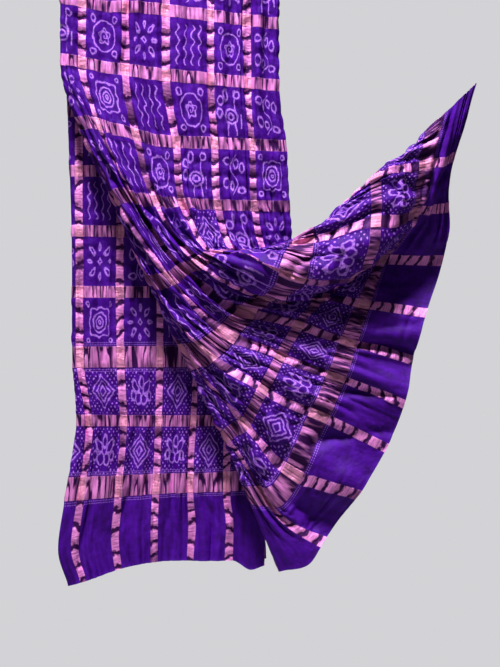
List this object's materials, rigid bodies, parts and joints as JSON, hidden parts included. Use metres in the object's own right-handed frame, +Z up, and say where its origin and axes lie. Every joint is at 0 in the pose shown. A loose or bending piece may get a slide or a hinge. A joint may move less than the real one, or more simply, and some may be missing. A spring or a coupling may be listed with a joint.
{
  "type": "dupatta stole",
  "caption": "Rectangular silk stole with woven metallic checks and tie-dyed motifs, folded lengthwise, hung over a line with one end drawn up into a fan.",
  "frame": {"origin": "on the line that holds the cloth, under the middle of the top fold", "axes": "+Z up, +X to the side of the drawn-up corner, +Y away from the viewer, through the two falls"},
  "size_m": [0.5195, 0.0938, 1.0768],
  "materials": {
    "silk_field": "crinkled tie-dyed silk with woven metallic checks",
    "silk_border": "plain silk with metallic stripes"
  },
  "bodies": {
    "root": {"top_fold": "silk_field", "front_fall": "silk_field", "front_swag": "silk_field", "front_end_border": "silk_border", "back_fall": "silk_field", "back_end_border": "silk_border"}
  },
  "joints": []
}
